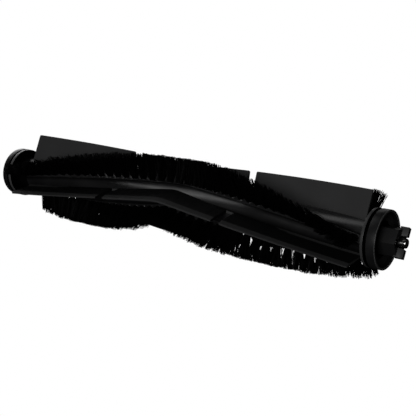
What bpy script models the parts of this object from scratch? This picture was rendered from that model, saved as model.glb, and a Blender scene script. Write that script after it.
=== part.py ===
"""Main brush roller of a wet/dry floor scrubber.

The roller turns about X, with +X towards the drive end and +Z up. The origin is on the roller's axis,
half-way along its length and in the plane where the V of the blades has its kink.
Angles around the roller are measured from the front (-Y) towards the top (+Z).
"""

import bmesh
import bpy
from math import asin, cos, pi, radians, sin, sqrt
from mathutils import Matrix, Vector

MM = 0.001
GAP = 0.3 * MM

# The brush pattern: three blades and three bristle rows, each in a V
CORE_RADIUS = 7.8 * MM
BLADE_RADIUS = 19.2 * MM
BRISTLE_RADIUS = 18.8 * MM
HALF_PATTERN = 91.5 * MM
BLADE_HEADING = radians(-7.5)
ROWS = 3
KINK_OFFSET = 6.5 * MM
ARM_SLOPE = 0.13
KINK_ROUNDING = 3.0 * MM
STATIONS_EACH_WAY = 12
STATION_CROWDING = 1.5

# A blade's section, from its bulb in the core to its bevelled tip. The rises are from the blade's heading
BULB_INNER_RADIUS = 4.95 * MM
BULB_OUTER_RADIUS = 5.65 * MM
BULB_HALF_WIDTH = 1.05 * MM
NECK_TOP_RADIUS = 8.5 * MM
BLADE_THICKNESS = 1.0 * MM
BEVEL_RADIUS = 16.8 * MM
BEVEL_RISE = 0.8 * MM
TIP_UPPER_RISE = 0.45 * MM
TIP_LOWER_RISE = -0.3 * MM
SLIT_START = 30.2 * MM
SLIT_WIDTH = 4.0 * MM
SLIT_FLOOR = 7.9 * MM
SLOT_CLEARANCE = 0.28 * MM
SLOT_TOP = 9.0 * MM

# Bristle strips: a channel in a slot of the core, with tufts standing on a bead inside it
STRIP_LEAD = radians(58)
TUFT_PITCH = 4.6 * MM
TUFTS_EACH_WAY = 19.5
TUFT_FOOT_RADIUS = 0.75 * MM
TUFT_TIP_RADIUS = 2.1 * MM
TUFT_FOOT = 5.7 * MM
TUFT_SIDES = 5
BEAD_FLOOR = 5.5 * MM
BEAD_TOP = 6.2 * MM
BEAD_HALF_WIDTH = 0.95 * MM
STRIP_FLOOR = 4.95 * MM
STRIP_TOP = 7.6 * MM
STRIP_HALF_WIDTH = 1.65 * MM
STRIP_WALL = 0.4 * MM
STRIP_CLEARANCE = 0.35 * MM

# Core, shaft and bearing
CORE_LOW = -97.5 * MM
CORE_HIGH = 92.3 * MM
SHAFT_IDLE_END = -105.1 * MM
SHAFT_CHAMFER = 0.35 * MM
SHAFT_TIP_STANDS_OUT = 0.2 * MM
SHAFT_RADIUS = 2.0 * MM
SHAFT_TIP_RADIUS = 1.9 * MM
SHAFT_BORE_RADIUS = 2.3 * MM
PLUG_RADIUS = 3.8 * MM
PLUG_LENGTH = 10.0 * MM
PLUG_END_GAP = 1.0 * MM
RACE_CLEARANCE = 0.05 * MM
BEARING_OUTER_RADIUS = 5.0 * MM
BEARING_WIDTH = 4.0 * MM
INNER_RACE_RADIUS = 2.85 * MM
OUTER_RACE_BORE = 4.2 * MM
BALL_RADIUS = 0.6 * MM
BALLS = 7
RACE_SIDE_GAP = 0.02 * MM
CAGE_HALF_WIDTH = 0.35 * MM
CAGE_THICKNESS = 0.35 * MM
CAGE_CLEARANCE = 0.1 * MM
SHIELD_THICKNESS = 0.25 * MM
SHIELD_CLEARANCE = 0.12 * MM

# Rings of the end caps
RING_RADIUS = 11.75 * MM
RING_WALL = 0.95 * MM
GROOVE_RADIUS = 9.6 * MM
THIN_FLANGE = 1.1 * MM
GROOVE_WIDTH = 1.3 * MM

# Drive end, as places along the axis
DRIVE_FLANGE = 93.4 * MM
DRIVE_RING_WIDTH = 3.6 * MM
DRIVE_HUB_STEP = 0.8 * MM
DRIVE_WEB = 97.25 * MM
RECESS_RADIUS = 7.35 * MM
RECESS_FLOOR = 96.0 * MM
HEX_RADIUS = 6.0 * MM
HEX_FOOT_RADIUS = 5.2 * MM
HEX_TURN = radians(8)
HEX_POCKET_FLOOR = 94.2 * MM
HEX_START = 97.3 * MM
HEX_END = 104.7 * MM
CLAW_END = 107.15 * MM
CLAW_ANGLE = radians(120)
CLAW_REACH = (2.5 * MM, 5.75 * MM)
CLAW_WIDTH = 2.6 * MM
JOIN_DEPTH = 1.0 * MM
END_SLOT_WIDTH = 3.2 * MM
END_SLOT_REACH = 4.4 * MM
END_SLOT_DEPTH = 2.6 * MM

# Idle end, as places along the axis
IDLE_FLANGE = -99.35 * MM
IDLE_THIN_FLANGE = 1.45 * MM
IDLE_RING_WIDTH = 2.9 * MM
IDLE_GROOVE_WIDTH = 1.2 * MM
IDLE_WEB = -102.6 * MM
IDLE_HUB_STEP = 1.55 * MM
IDLE_RECESS_RADIUS = 6.3 * MM
IDLE_RECESS_FLOOR = -99.8 * MM
BEARING_INNER_FACE = -100.6 * MM
CAP_END = -107.35 * MM
CAP_SKIRT = -104.9 * MM
CAP_SKIRT_THICKNESS = 0.8 * MM
CAP_SKIRT_RADIUS = 10.3 * MM
CAP_STUB_RADIUS = 7.9 * MM
CAP_FLAT = 6.6 * MM
CAP_SLEEVE_RADIUS = 5.9 * MM
CAP_BORE_RADIUS = 5.05 * MM
CAP_RELIEF_RADIUS = 3.6 * MM
CAP_RELIEF_DEPTH = 1.3 * MM
CAP_EDGE = 0.4 * MM
FELT_OUTER_RADIUS = 9.6 * MM
FELT_INNER_RADIUS = 6.7 * MM
FELT_CLEARANCE = 0.25 * MM
WASHER_RADIUS = 3.1 * MM
WASHER_WIDTH = 0.5 * MM
WASHER_END_GAP = 0.1 * MM

# Fineness of the round pieces
RING_EDGE = 0.2 * MM
ROUND = 40
SMALL_ROUND = 20
BALL_SIDES = 8
BALL_ROWS = 6
SHARP_ANGLE = radians(32)
SCREW_MERGE = 0.01 * MM


# ---------------------------------------------------------------- scene and materials

def clear_scene():
    for old in list(bpy.data.objects):
        bpy.data.objects.remove(old, do_unlink=True)


def new_collection(name):
    collection = bpy.data.collections.new(name)
    bpy.context.scene.collection.children.link(collection)
    return collection


def new_material(name, color, roughness, metallic=0.0):
    material = bpy.data.materials.new(name)
    material.use_nodes = True
    shader = material.node_tree.nodes["Principled BSDF"]
    shader.inputs["Base Color"].default_value = (*color, 1.0)
    shader.inputs["Roughness"].default_value = roughness
    shader.inputs["Metallic"].default_value = metallic
    return material


def add_part(name, mesh, color, roughness, metallic=0.0):
    part = bpy.data.objects.new(name, mesh)
    mesh.materials.append(new_material(name, color, roughness, metallic))
    mesh.shade_smooth()
    mesh.set_sharp_from_angle(angle=SHARP_ANGLE)
    parts.objects.link(part)
    return part


def add_cutter(name, mesh):
    cutter = bpy.data.objects.new(name, mesh)
    cutter.hide_render = True
    cutter.display_type = "WIRE"
    cutters.objects.link(cutter)
    return cutter


def combine(part, tool, operation):
    step = part.modifiers.new(f"{operation.lower()} {tool.name}", "BOOLEAN")
    step.operation = operation
    step.object = tool
    step.solver = "EXACT"


def cut(part, cutter):
    combine(part, cutter, "DIFFERENCE")


# ---------------------------------------------------------------- shapes

def around(along, radius, angle):
    """Point at this place along the axis, radius and angle from the front towards the top."""
    return Vector((along, -radius * cos(angle), radius * sin(angle)))


def facing(along, angle):
    """Frame on the axis whose Z points out at this angle and whose X runs along the roller."""
    outward = around(0, 1, angle)
    axis = Vector((1, 0, 0))
    frame = Matrix((axis, outward.cross(axis), outward)).transposed().to_4x4()
    frame.translation = (along, 0, 0)
    return frame


def box_mesh(name, boxes):
    """Boxes as (frame, centre, size), joined in one mesh as separate solids."""
    shape = bmesh.new()
    for frame, centre, size in boxes:
        place = frame @ Matrix.Translation(centre) @ Matrix.Diagonal((*size, 1))
        bmesh.ops.create_cube(shape, size=1, matrix=place)
    mesh = bpy.data.meshes.new(name)
    shape.to_mesh(mesh)
    shape.free()
    return mesh


def cone_mesh(name, cones, sides):
    """Straight-sided cones as (frame, start, end, start radius, end radius), standing on each frame's Z."""
    shape = bmesh.new()
    for frame, start, end, foot, tip in cones:
        place = frame @ Matrix.Translation((0, 0, (start + end) / 2))
        bmesh.ops.create_cone(shape, cap_ends=True, segments=sides, radius1=foot, radius2=tip,
                              depth=end - start, matrix=place)
    mesh = bpy.data.meshes.new(name)
    shape.to_mesh(mesh)
    shape.free()
    return mesh


def outline_mesh(name, outline, closed):
    """Profile of a turned piece, as (radius, place along the axis)."""
    mesh = bpy.data.meshes.new(name)
    edges = [(i, i + 1) for i in range(len(outline) - 1)]
    if closed:
        edges.append((len(outline) - 1, 0))
    mesh.from_pydata([(radius, 0, along) for radius, along in outline], edges, [])
    return mesh


def turn(part, segments=ROUND):
    """Spins the part's profile about its own Z, and lays that Z along the roller's axis."""
    part.rotation_euler = (0, pi / 2, 0)
    screw = part.modifiers.new("turned", "SCREW")
    screw.axis = "Z"
    screw.angle = 2 * pi
    screw.steps = segments
    screw.render_steps = segments
    screw.use_merge_vertices = True
    screw.merge_threshold = SCREW_MERGE
    screw.use_smooth_shade = True


def turned_part(name, outline, color, roughness, metallic=0.0, segments=ROUND):
    """Solid of revolution. A ring's outline is closed, and a solid one starts and ends on the axis."""
    closed = outline[0][0] > 0
    part = add_part(name, outline_mesh(name, outline, closed), color, roughness, metallic)
    turn(part, segments)
    return part


def ring_outline(outer, inner, low, high):
    """Square-section ring, down its outer side and up its bore."""
    return [(outer, high), (outer, low), (inner, low), (inner, high)]


def loft_mesh(name, sections):
    """Closed solid through like sections, one ring of points at each station, all the same way round."""
    shape = bmesh.new()
    rings = [[shape.verts.new(point) for point in section] for section in sections]
    count = len(sections[0])
    for near, far in zip(rings, rings[1:]):
        for i in range(count):
            j = (i + 1) % count
            shape.faces.new((near[i], near[j], far[j], far[i]))
    shape.faces.new(reversed(rings[0]))
    shape.faces.new(rings[-1])
    bmesh.ops.recalc_face_normals(shape, faces=shape.faces)
    mesh = bpy.data.meshes.new(name)
    shape.to_mesh(mesh)
    shape.free()
    return mesh


def hex_mesh(name, radius, low, high, turn_by):
    """Hexagonal bar along the axis, with a corner at turn_by from the front."""
    shape = bmesh.new()
    laid = Matrix.Rotation(pi / 2, 4, "Y")
    lift = Matrix.Translation(((low + high) / 2, 0, 0))
    twist = Matrix.Rotation(-turn_by, 4, "X")
    bmesh.ops.create_cone(shape, cap_ends=True, segments=6, radius1=radius, radius2=radius,
                          depth=high - low, matrix=lift @ twist @ laid)
    mesh = bpy.data.meshes.new(name)
    shape.to_mesh(mesh)
    shape.free()
    return mesh


# ---------------------------------------------------------------- the V of blades and rows

def v_offset(along):
    """Offset of a blade's foot across its heading: highest at the kink, lower towards both ends."""
    return KINK_OFFSET - ARM_SLOPE * (sqrt(along ** 2 + KINK_ROUNDING ** 2) - KINK_ROUNDING)


def foot_angle(along):
    """Angle of the first blade's foot on the core."""
    return BLADE_HEADING + asin(v_offset(along) / CORE_RADIUS)


def row_turn(row):
    return radians(360 / ROWS) * row


def stations(low, high):
    """Places along the axis from low to high, closer together near the kink."""
    way = [HALF_PATTERN * (i / STATIONS_EACH_WAY) ** STATION_CROWDING for i in range(STATIONS_EACH_WAY)]
    return [low] + [-x for x in reversed(way[1:])] + way + [high]


def slot_stations():
    """A slot is closed at the idle end and open at the drive end, where its piece slides in."""
    return stations(-HALF_PATTERN - GAP, DRIVE_FLANGE)


def across_core(along, angle, half):
    """Mirrored section at this angle, from half of it as (radius, half-width)."""
    frame = facing(along, angle)
    outline = half + [(radius, -width) for radius, width in reversed(half)]
    return [frame @ Vector((0, width, radius)) for radius, width in outline]


def blade_section(along, turn_by):
    """Bulb, neck and flap, worked out across the roller, as front and up, before the row's turn."""
    foot = foot_angle(along)
    outward = Vector((cos(foot), sin(foot)))
    beside = Vector((-outward.y, outward.x))
    ahead = Vector((cos(BLADE_HEADING), sin(BLADE_HEADING)))
    across = Vector((-ahead.y, ahead.x))

    def on_circle(radius, rise):
        offset = v_offset(along) + rise
        return ahead * sqrt(radius ** 2 - offset ** 2) + across * offset

    root = [(BULB_INNER_RADIUS, BULB_HALF_WIDTH), (BULB_OUTER_RADIUS, BULB_HALF_WIDTH),
            (BULB_OUTER_RADIUS, BLADE_THICKNESS / 2), (NECK_TOP_RADIUS, BLADE_THICKNESS / 2)]
    upper = [outward * radius + beside * width for radius, width in root]
    lower = [outward * radius - beside * width for radius, width in reversed(root)]
    tip = [on_circle(BEVEL_RADIUS, BEVEL_RISE), on_circle(BLADE_RADIUS, TIP_UPPER_RISE),
           on_circle(BLADE_RADIUS, TIP_LOWER_RISE)]
    spin = Matrix.Rotation(turn_by, 2)
    turned = [spin @ point for point in upper + tip + lower]
    return [Vector((along, -point.x, point.y)) for point in turned]


def blade_slot_section(along, turn_by):
    wide = BULB_HALF_WIDTH + SLOT_CLEARANCE
    narrow = BLADE_THICKNESS / 2 + SLOT_CLEARANCE
    shoulder = BULB_OUTER_RADIUS + SLOT_CLEARANCE
    half = [(BULB_INNER_RADIUS - SLOT_CLEARANCE, wide), (shoulder, wide), (shoulder, narrow),
            (SLOT_TOP, narrow)]
    return across_core(along, foot_angle(along) + turn_by, half)


def add_blade(row):
    name = f"blade_{row + 1}"
    sections = [blade_section(x, row_turn(row)) for x in stations(-HALF_PATTERN, HALF_PATTERN)]
    part = add_part(name, loft_mesh(name, sections), (0.022, 0.022, 0.023), 0.62)
    heading = facing(0, BLADE_HEADING + row_turn(row))
    depth = BLADE_RADIUS
    slits = [(heading, (side * (SLIT_START + SLIT_WIDTH / 2), 0, SLIT_FLOOR + depth / 2),
              (SLIT_WIDTH, 2 * BLADE_RADIUS, depth)) for side in (-1, 1)]
    cut(part, add_cutter(f"{name} slits", box_mesh(f"{name} slits", slits)))
    return part


# ---------------------------------------------------------------- bristle rows

def strip_turn(row):
    return row_turn(row) + STRIP_LEAD


def tuft_frames(row):
    for i in range(int(2 * TUFTS_EACH_WAY + 1)):
        along = (i - TUFTS_EACH_WAY) * TUFT_PITCH
        yield facing(along, foot_angle(along) + strip_turn(row))


def strip_slot_section(along, turn_by):
    wide = STRIP_HALF_WIDTH + STRIP_CLEARANCE
    half = [(STRIP_FLOOR - STRIP_CLEARANCE, wide), (SLOT_TOP, wide)]
    return across_core(along, foot_angle(along) + turn_by, half)


def strip_section(along, turn_by):
    inside = STRIP_HALF_WIDTH - STRIP_WALL
    half = [(STRIP_FLOOR + STRIP_WALL, inside), (STRIP_TOP, inside), (STRIP_TOP, STRIP_HALF_WIDTH),
            (STRIP_FLOOR, STRIP_HALF_WIDTH)]
    return across_core(along, foot_angle(along) + turn_by, half)


def bead_section(along, turn_by):
    half = [(BEAD_FLOOR, BEAD_HALF_WIDTH), (BEAD_TOP, BEAD_HALF_WIDTH)]
    return across_core(along, foot_angle(along) + turn_by, half)


def add_bristle_strip(row):
    name = f"bristle_strip_{row + 1}"
    sections = [strip_section(x, strip_turn(row)) for x in stations(-HALF_PATTERN, HALF_PATTERN)]
    return add_part(name, loft_mesh(name, sections), (0.016, 0.016, 0.017), 0.4)


def add_bristles(row):
    """One soft body for a row: its tufts and the bead that they stand on."""
    name = f"bristles_{row + 1}"
    end = TUFTS_EACH_WAY * TUFT_PITCH + BEAD_HALF_WIDTH
    sections = [bead_section(x, strip_turn(row)) for x in stations(-end, end)]
    part = add_part(name, loft_mesh(name, sections), (0.012, 0.012, 0.013), 0.5)
    tufts = [(frame, TUFT_FOOT, BRISTLE_RADIUS, TUFT_FOOT_RADIUS, TUFT_TIP_RADIUS)
             for frame in tuft_frames(row)]
    combine(part, add_cutter(f"{name} tufts", cone_mesh(f"{name} tufts", tufts, TUFT_SIDES)), "UNION")
    return part


# ---------------------------------------------------------------- core and shaft

def add_core():
    bore = PLUG_RADIUS + GAP
    low_step = CORE_LOW + PLUG_LENGTH + PLUG_END_GAP
    high_step = CORE_HIGH - PLUG_LENGTH - PLUG_END_GAP
    outline = [(CORE_RADIUS, CORE_HIGH), (CORE_RADIUS, CORE_LOW), (bore, CORE_LOW), (bore, low_step),
               (SHAFT_BORE_RADIUS, low_step), (SHAFT_BORE_RADIUS, high_step), (bore, high_step),
               (bore, CORE_HIGH)]
    core = turned_part("core", outline, (0.014, 0.014, 0.015), 0.28)
    for row in range(ROWS):
        name = f"blade slot {row + 1}"
        sections = [blade_slot_section(x, row_turn(row)) for x in slot_stations()]
        cut(core, add_cutter(name, loft_mesh(name, sections)))
        name = f"strip slot {row + 1}"
        sections = [strip_slot_section(x, strip_turn(row)) for x in slot_stations()]
        cut(core, add_cutter(name, loft_mesh(name, sections)))
    return core


def add_shaft():
    tip = CLAW_END + SHAFT_TIP_STANDS_OUT
    neck = HEX_END - END_SLOT_DEPTH
    edge = SHAFT_CHAMFER
    outline = [(0, tip), (SHAFT_TIP_RADIUS - edge, tip), (SHAFT_TIP_RADIUS, tip - edge),
               (SHAFT_TIP_RADIUS, neck), (SHAFT_RADIUS, neck - edge), (SHAFT_RADIUS, SHAFT_IDLE_END + edge),
               (SHAFT_RADIUS - edge, SHAFT_IDLE_END), (0, SHAFT_IDLE_END)]
    return turned_part("shaft", outline, (0.74, 0.74, 0.73), 0.16, 1.0, SMALL_ROUND)


# ---------------------------------------------------------------- drive end

def add_drive_end_cap():
    low = DRIVE_FLANGE
    thin = low + THIN_FLANGE
    ring = thin + GROOVE_WIDTH
    rim = ring + DRIVE_RING_WIDTH
    hub = low - DRIVE_HUB_STEP
    plug = hub - PLUG_LENGTH
    inner = RING_RADIUS - RING_WALL
    edge = RING_EDGE
    outline = [(RING_RADIUS - edge, rim), (RING_RADIUS, rim - edge), (RING_RADIUS, ring),
               (GROOVE_RADIUS, ring), (GROOVE_RADIUS, thin), (RING_RADIUS, thin), (RING_RADIUS, low),
               (CORE_RADIUS, low), (CORE_RADIUS, hub), (PLUG_RADIUS, hub), (PLUG_RADIUS, plug),
               (SHAFT_BORE_RADIUS, plug),
               (SHAFT_BORE_RADIUS, RECESS_FLOOR), (RECESS_RADIUS, RECESS_FLOOR), (RECESS_RADIUS, DRIVE_WEB),
               (inner, DRIVE_WEB), (inner, rim - edge), (inner + edge, rim)]
    cap = turned_part("drive_end_cap", outline, (0.016, 0.016, 0.017), 0.34)
    pocket = hex_mesh("hex pocket", HEX_FOOT_RADIUS + GAP, HEX_POCKET_FLOOR, DRIVE_WEB, HEX_TURN)
    cut(cap, add_cutter("hex pocket", pocket))
    return cap


def add_drive_dog():
    boss = hex_mesh("drive_dog", HEX_RADIUS, HEX_START, HEX_END, HEX_TURN)
    dog = add_part("drive_dog", boss, (0.02, 0.02, 0.021), 0.42)
    foot_end = HEX_START + JOIN_DEPTH
    foot = hex_mesh("dog foot", HEX_FOOT_RADIUS, HEX_POCKET_FLOOR + GAP, foot_end, HEX_TURN)
    combine(dog, add_cutter("dog foot", foot), "UNION")
    low = HEX_END - JOIN_DEPTH
    start, end = CLAW_REACH
    claws = [(facing(0, CLAW_ANGLE + half_turn), ((low + CLAW_END) / 2, 0, (start + end) / 2),
              (CLAW_END - low, CLAW_WIDTH, end - start)) for half_turn in (0, pi)]
    combine(dog, add_cutter("claws", box_mesh("claws", claws)), "UNION")
    bore = [(facing(0, 0) @ Matrix.Rotation(pi / 2, 4, "Y"), HEX_POCKET_FLOOR, CLAW_END,
             SHAFT_BORE_RADIUS, SHAFT_BORE_RADIUS)]
    cut(dog, add_cutter("dog bore", cone_mesh("dog bore", bore, SMALL_ROUND)))
    slot = [(facing(0, HEX_TURN), (HEX_END - END_SLOT_DEPTH / 2 + GAP / 2, 0, 0),
             (END_SLOT_DEPTH + GAP, END_SLOT_WIDTH, 2 * END_SLOT_REACH))]
    cut(dog, add_cutter("end slot", box_mesh("end slot", slot)))
    return dog


# ---------------------------------------------------------------- idle end

def add_idle_end_cap():
    high = IDLE_FLANGE
    thin = high - IDLE_THIN_FLANGE
    ring = thin - IDLE_GROOVE_WIDTH
    rim = ring - IDLE_RING_WIDTH
    hub = high + IDLE_HUB_STEP
    plug = hub + PLUG_LENGTH
    inner = RING_RADIUS - RING_WALL
    edge = RING_EDGE
    outline = [(PLUG_RADIUS, plug), (PLUG_RADIUS, hub), (CORE_RADIUS, hub), (CORE_RADIUS, high),
               (RING_RADIUS, high), (RING_RADIUS, thin), (GROOVE_RADIUS, thin), (GROOVE_RADIUS, ring),
               (RING_RADIUS, ring), (RING_RADIUS, rim + edge), (RING_RADIUS - edge, rim), (inner + edge, rim),
               (inner, rim + edge), (inner, IDLE_WEB), (IDLE_RECESS_RADIUS, IDLE_WEB),
               (IDLE_RECESS_RADIUS, IDLE_RECESS_FLOOR), (SHAFT_BORE_RADIUS, IDLE_RECESS_FLOOR),
               (SHAFT_BORE_RADIUS, plug)]
    return turned_part("idle_end_cap", outline, (0.016, 0.016, 0.017), 0.34)


def add_bearing_cap():
    sleeve = BEARING_INNER_FACE
    seat = sleeve - BEARING_WIDTH - RACE_CLEARANCE
    relief = seat - CAP_RELIEF_DEPTH
    skirt = CAP_SKIRT + CAP_SKIRT_THICKNESS
    outline = [(CAP_BORE_RADIUS, sleeve), (CAP_SLEEVE_RADIUS, sleeve), (CAP_SLEEVE_RADIUS, skirt),
               (CAP_SKIRT_RADIUS, skirt), (CAP_SKIRT_RADIUS, CAP_SKIRT), (CAP_STUB_RADIUS, CAP_SKIRT),
               (CAP_STUB_RADIUS, CAP_END + CAP_EDGE), (CAP_STUB_RADIUS - CAP_EDGE, CAP_END), (0, CAP_END)]
    bore = [(0, relief), (CAP_RELIEF_RADIUS, relief), (CAP_RELIEF_RADIUS, seat), (CAP_BORE_RADIUS, seat)]
    mesh = outline_mesh("bearing_cap", bore + outline, False)
    cap = add_part("bearing_cap", mesh, (0.018, 0.018, 0.019), 0.45)
    turn(cap)
    low = CAP_END - GAP
    high = CAP_SKIRT
    side = CAP_STUB_RADIUS
    flats = [(facing((low + high) / 2, angle), (0, 0, CAP_FLAT + side / 2), (high - low, 3 * side, side))
             for angle in (pi / 2, -pi / 2)]
    cut(cap, add_cutter("cap flats", box_mesh("cap flats", flats)))
    return cap


def add_bearing():
    high = BEARING_INNER_FACE - RACE_SIDE_GAP
    low = BEARING_INNER_FACE - BEARING_WIDTH + RACE_SIDE_GAP
    middle = (low + high) / 2
    steel = (0.6, 0.6, 0.6)
    outer = BEARING_OUTER_RADIUS
    turned_part("bearing_outer_race", ring_outline(outer, OUTER_RACE_BORE, low, high), steel, 0.2, 1.0,
                SMALL_ROUND)
    bore = SHAFT_RADIUS + RACE_CLEARANCE
    turned_part("bearing_inner_race", ring_outline(INNER_RACE_RADIUS, bore, low, high), steel, 0.2, 1.0,
                SMALL_ROUND)
    pitch = (INNER_RACE_RADIUS + OUTER_RACE_BORE) / 2
    for i in range(BALLS):
        add_ball(f"bearing_ball_{i + 1}", around(middle, pitch, 2 * pi * i / BALLS), steel)
    half = CAGE_HALF_WIDTH
    start = middle + BALL_RADIUS + CAGE_CLEARANCE
    cage = ring_outline(pitch + half, pitch - half, start, start + CAGE_THICKNESS)
    turned_part("bearing_cage", cage, (0.5, 0.5, 0.49), 0.4, 1.0, SMALL_ROUND)
    thick = SHIELD_THICKNESS
    inside = INNER_RACE_RADIUS + SHIELD_CLEARANCE
    outside = OUTER_RACE_BORE - SHIELD_CLEARANCE
    for name, start in (("bearing_shield_1", high - thick), ("bearing_shield_2", low)):
        turned_part(name, ring_outline(outside, inside, start, start + thick), steel, 0.3, 1.0, SMALL_ROUND)


def add_ball(name, place, color):
    shape = bmesh.new()
    bmesh.ops.create_uvsphere(shape, u_segments=BALL_SIDES, v_segments=BALL_ROWS, radius=BALL_RADIUS)
    mesh = bpy.data.meshes.new(name)
    shape.to_mesh(mesh)
    shape.free()
    ball = add_part(name, mesh, color, 0.1, 1.0)
    ball.location = place


def add_seals():
    skirt = CAP_SKIRT + CAP_SKIRT_THICKNESS
    felt = ring_outline(FELT_OUTER_RADIUS, FELT_INNER_RADIUS, skirt + FELT_CLEARANCE,
                        IDLE_WEB - FELT_CLEARANCE)
    turned_part("felt_seal", felt, (0.12, 0.12, 0.12), 0.95)
    washer = ring_outline(WASHER_RADIUS, SHAFT_BORE_RADIUS, IDLE_RECESS_FLOOR - WASHER_END_GAP - WASHER_WIDTH,
                          IDLE_RECESS_FLOOR - WASHER_END_GAP)
    turned_part("thrust_washer", washer, (0.7, 0.7, 0.68), 0.4, 0.0, SMALL_ROUND)


clear_scene()
parts = new_collection("scrubber brush roller")
cutters = new_collection("cutters")
add_core()
add_shaft()
for blade_row in range(ROWS):
    add_blade(blade_row)
    add_bristle_strip(blade_row)
    add_bristles(blade_row)
add_drive_end_cap()
add_drive_dog()
add_idle_end_cap()
add_bearing_cap()
add_bearing()
add_seals()
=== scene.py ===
"""Looks of the floor scrubber's brush roller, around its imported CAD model.

Lengths are in metres in the shared frame: X runs along the roller towards its drive end, Z is up and the
front is -Y. Angles round the roller are measured from the front towards the top. A row is a third of the
pattern, with one blade and one line of bristle tufts. Row 0 has the front blade, and row 1 the top one.
"""

from math import asin, atan2, cos, pi, radians, sin, sqrt

import bmesh
import bpy
import numpy as np
from mathutils import Matrix, Vector


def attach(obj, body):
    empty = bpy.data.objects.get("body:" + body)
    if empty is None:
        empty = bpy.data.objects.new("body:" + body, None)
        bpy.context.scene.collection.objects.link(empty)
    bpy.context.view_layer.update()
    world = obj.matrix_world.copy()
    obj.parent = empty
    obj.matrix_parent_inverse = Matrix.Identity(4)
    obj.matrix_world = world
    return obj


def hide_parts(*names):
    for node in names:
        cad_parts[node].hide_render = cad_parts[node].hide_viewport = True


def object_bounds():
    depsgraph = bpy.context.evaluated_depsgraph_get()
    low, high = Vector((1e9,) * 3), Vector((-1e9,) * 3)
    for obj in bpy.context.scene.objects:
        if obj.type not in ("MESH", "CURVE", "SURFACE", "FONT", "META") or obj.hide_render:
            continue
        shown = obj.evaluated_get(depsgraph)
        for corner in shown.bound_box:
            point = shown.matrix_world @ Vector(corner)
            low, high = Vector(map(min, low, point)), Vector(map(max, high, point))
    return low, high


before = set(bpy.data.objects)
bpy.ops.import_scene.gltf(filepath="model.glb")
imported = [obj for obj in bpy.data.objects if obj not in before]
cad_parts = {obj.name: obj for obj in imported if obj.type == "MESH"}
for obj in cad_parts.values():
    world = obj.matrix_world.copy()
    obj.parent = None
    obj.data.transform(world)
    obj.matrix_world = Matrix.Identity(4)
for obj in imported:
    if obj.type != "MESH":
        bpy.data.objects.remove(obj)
cad_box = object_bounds()
MM = 0.001
GAP = 0.3 * MM

# Pattern, as in the CAD model
ROWS = 3
HALF_PATTERN = 91.5 * MM
KINK_ROUNDING = 3.0 * MM
BLADE_RADIUS = 19.2 * MM
BLADE_NECK = 8.5 * MM
BLADE_THICKNESS = 1.0 * MM
BEVEL_DEPTH = 2.4 * MM
BEVEL_RISE = 0.8 * MM
TIP_UPPER_RISE = 0.45 * MM
TIP_LOWER_RISE = -0.3 * MM
SLIT_START = 30.2 * MM
SLIT_END = 34.2 * MM
TUFT_PITCH = 4.6 * MM
TUFTS = 40

# Core, shaft and end caps, as in the CAD model
CORE_RADIUS = 7.8 * MM
CORE_IDLE_END = -97.5 * MM
CORE_DRIVE_END = 92.3 * MM
SHAFT_RADIUS = 2.0 * MM
SHAFT_TIP_RADIUS = 1.9 * MM
SHAFT_IDLE_END = -105.1 * MM
ROLLER_END = 107.35 * MM
SHAFT_BORE_RADIUS = 2.3 * MM
RING_RADIUS = 11.75 * MM
RING_BORE = 10.8 * MM
GROOVE_RADIUS = 9.6 * MM
EDGE_ROUNDING = 0.16 * MM
DRIVE_HUB = 92.6 * MM
DRIVE_FLANGE = 93.4 * MM
DRIVE_GROOVE = (94.5 * MM, 95.8 * MM)
DRIVE_RING_END = 99.4 * MM
DRIVE_WEB = 97.25 * MM
DRIVE_RECESS_RADIUS = 7.35 * MM
DRIVE_RECESS_FLOOR = 96.0 * MM
IDLE_HUB = -97.8 * MM
IDLE_FLANGE = -99.35 * MM
IDLE_GROOVE = (-102.0 * MM, -100.8 * MM)
IDLE_RING_END = -104.9 * MM
IDLE_WEB = -102.6 * MM
IDLE_RECESS_RADIUS = 6.3 * MM
IDLE_RECESS_FLOOR = -99.8 * MM

# Drive dog, as in the CAD model but for its claws
HEX_RADIUS = 6.0 * MM
HEX_FOOT_RADIUS = 5.2 * MM
HEX_TURN = radians(8)
HEX_POCKET_FLOOR = 94.2 * MM
HEX_START = 97.3 * MM
HEX_END = 104.7 * MM
JOIN_DEPTH = 1.0 * MM
END_SLOT_WIDTH = 3.2 * MM
END_SLOT_REACH = 4.4 * MM
END_SLOT_DEPTH = 2.6 * MM
CLAW_ANGLES = (radians(120), radians(300))
CLAW_INNER = 2.5 * MM
CLAW_OUTER = 6.05 * MM
CLAW_HALF_WIDTH = 1.4 * MM
CLAW_SHOULDER = 105.9 * MM
CLAW_END = 107.15 * MM
CLAW_LEAD_IN = 0.7 * MM

# Bearing cap, as in the CAD model
BEARING_INNER_FACE = -100.6 * MM
BEARING_SEAT = -104.65 * MM
CAP_BORE_RADIUS = 5.05 * MM
CAP_SLEEVE_RADIUS = 5.9 * MM
CAP_SKIRT_RADIUS = 10.3 * MM
CAP_SKIRT = (-104.1 * MM, -104.9 * MM)
CAP_STUB_RADIUS = 7.9 * MM
CAP_RELIEF_RADIUS = 3.6 * MM
CAP_RELIEF_FLOOR = -105.95 * MM
CAP_FLAT = 6.6 * MM

# The V of each blade and of the bristle rows: heading, offset at the kink, slope of the idle and drive arm
BLADE_VS = [(radians(-7.585), 6.4 * MM, 0.113, 0.132), (radians(-7.5), 6.5 * MM, 0.13, 0.13),
            (radians(-7.5), 6.5 * MM, 0.13, 0.13)]
ROW_V = (radians(50.9), 6.5 * MM, 0.125, 0.136)

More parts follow.
